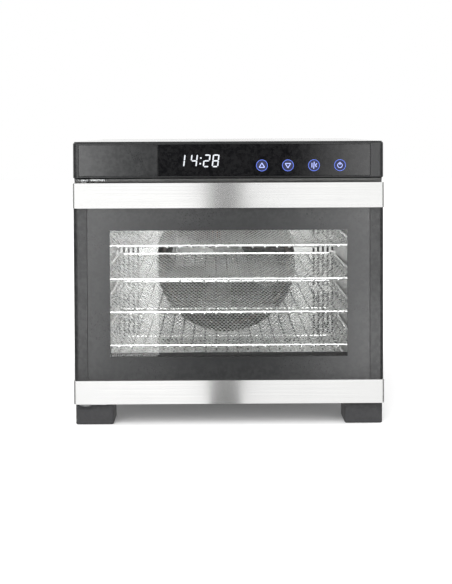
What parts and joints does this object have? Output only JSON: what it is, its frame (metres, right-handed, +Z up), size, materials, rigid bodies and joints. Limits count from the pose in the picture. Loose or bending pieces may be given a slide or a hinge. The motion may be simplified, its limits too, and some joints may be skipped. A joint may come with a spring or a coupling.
{
  "type": "food dehydrator",
  "caption": "Cabinet food dehydrator: steel box with wire trays behind a side-hinged glass door, touch control panel on top, rear fan and ring heater.",
  "frame": {"origin": "on the floor, under the middle of the whole machine", "axes": "+X to the right seen from the front, -Y towards the front with the door, +Z up"},
  "size_m": [0.345, 0.45, 0.315],
  "materials": {
    "brushed_steel": "fine horizontal brushing",
    "chamber_steel": "satin sheet steel",
    "dark_sheet": "heat-darkened sheet",
    "case_sheet": "powder-coated sheet",
    "tray_wire": "bright drawn wire",
    "door_panel": "satin dark grey paint",
    "housing": "satin moulded plastic",
    "touch_panel": "glossy black",
    "glass": "clear tempered glass",
    "liner_black": "black enamel",
    "gasket": "silicone",
    "foot": "moulded rubber",
    "magnet": "sintered ferrite",
    "zinc_steel": "zinc plated",
    "nylon": "natural nylon",
    "fan": "pressed aluminium",
    "laminations": "stacked laminations",
    "winding": "taped copper winding",
    "heater": "oxidised steel sheath",
    "probe": "bright steel tube",
    "circuit_board": "solder mask",
    "component": "moulded component",
    "spring_steel": "plated spring",
    "inlet": "moulded inlet",
    "pin_brass": "plated brass"
  },
  "bodies": {
    "cabinet": {"badge_panel": "door_panel", "base_pan": "case_sheet", "board_standoffs": "component", "case_screws": "zinc_steel", "catch_plate": "zinc_steel", "control_board": "circuit_board", "display_module": "touch_panel", "fan_duct": "chamber_steel", "fan_shroud": "chamber_steel", "fascia_housing": "housing", "foot_front_left": "foot", "foot_front_right": "foot", "foot_rear_left": "foot", "foot_rear_right": "foot", "foot_screws": "zinc_steel", "front_frame": "chamber_steel", "heater_element": "heater", "hinge_pins": "zinc_steel", "hinge_plates": "zinc_steel", "inlet_pins": "pin_brass", "liner_back": "chamber_steel", "liner_floor": "chamber_steel", "liner_left": "chamber_steel", "liner_right": "chamber_steel", "liner_top": "chamber_steel", "motor_bearings": "zinc_steel", "motor_brackets": "zinc_steel", "motor_coil": "winding", "motor_screws": "zinc_steel", "motor_stator": "laminations", "outer_shell": "brushed_steel", "power_board": "circuit_board", "power_inlet": "inlet", "rack_left": "chamber_steel", "rack_right": "chamber_steel", "rear_baffle": "dark_sheet", "rear_panel": "case_sheet", "temperature_probe": "probe", "thermal_cutout": "component", "touch_panel": "touch_panel", "touch_springs": "spring_steel", "transformer": "component"},
    "door": {"door_frame": "housing", "door_panel": "door_panel", "window_glass": "glass", "door_liner": "liner_black", "door_gasket": "gasket", "upper_band": "brushed_steel", "lower_band": "brushed_steel", "door_magnet": "magnet", "hinge_bushings": "nylon"},
    "fan": {"fan_blade": "fan", "fan_nut": "zinc_steel", "motor_rotor": "zinc_steel"},
    "tray_body_1": {"tray_1": "tray_wire"},
    "tray_body_2": {"tray_2": "tray_wire"},
    "tray_body_3": {"tray_3": "tray_wire"},
    "tray_body_4": {"tray_4": "tray_wire"},
    "tray_body_5": {"tray_5": "tray_wire"},
    "tray_body_6": {"tray_6": "tray_wire"}
  },
  "joints": [
    {"name": "door_hinge", "type": "hinge", "parent": "cabinet", "child": "door", "pos_m": [-0.16, -0.216, 0.1467], "axis": [0, 0, -1], "range_deg": [0, 115]},
    {"name": "fan_spin", "type": "hinge", "parent": "cabinet", "child": "fan", "pos_m": [0, 0.17, 0.144], "axis": [0, 1, 0], "continuous": true},
    {"name": "tray_1_slide", "type": "slide", "parent": "cabinet", "child": "tray_body_1", "axis": [0, -1, 0], "range_m": [0, 0.01]},
    {"name": "tray_2_slide", "type": "slide", "parent": "cabinet", "child": "tray_body_2", "axis": [0, -1, 0], "range_m": [0, 0.01]},
    {"name": "tray_3_slide", "type": "slide", "parent": "cabinet", "child": "tray_body_3", "axis": [0, -1, 0], "range_m": [0, 0.01]},
    {"name": "tray_4_slide", "type": "slide", "parent": "cabinet", "child": "tray_body_4", "axis": [0, -1, 0], "range_m": [0, 0.01]},
    {"name": "tray_5_slide", "type": "slide", "parent": "cabinet", "child": "tray_body_5", "axis": [0, -1, 0], "range_m": [0, 0.01]},
    {"name": "tray_6_slide", "type": "slide", "parent": "cabinet", "child": "tray_body_6", "axis": [0, -1, 0], "range_m": [0, 0.01]}
  ]
}
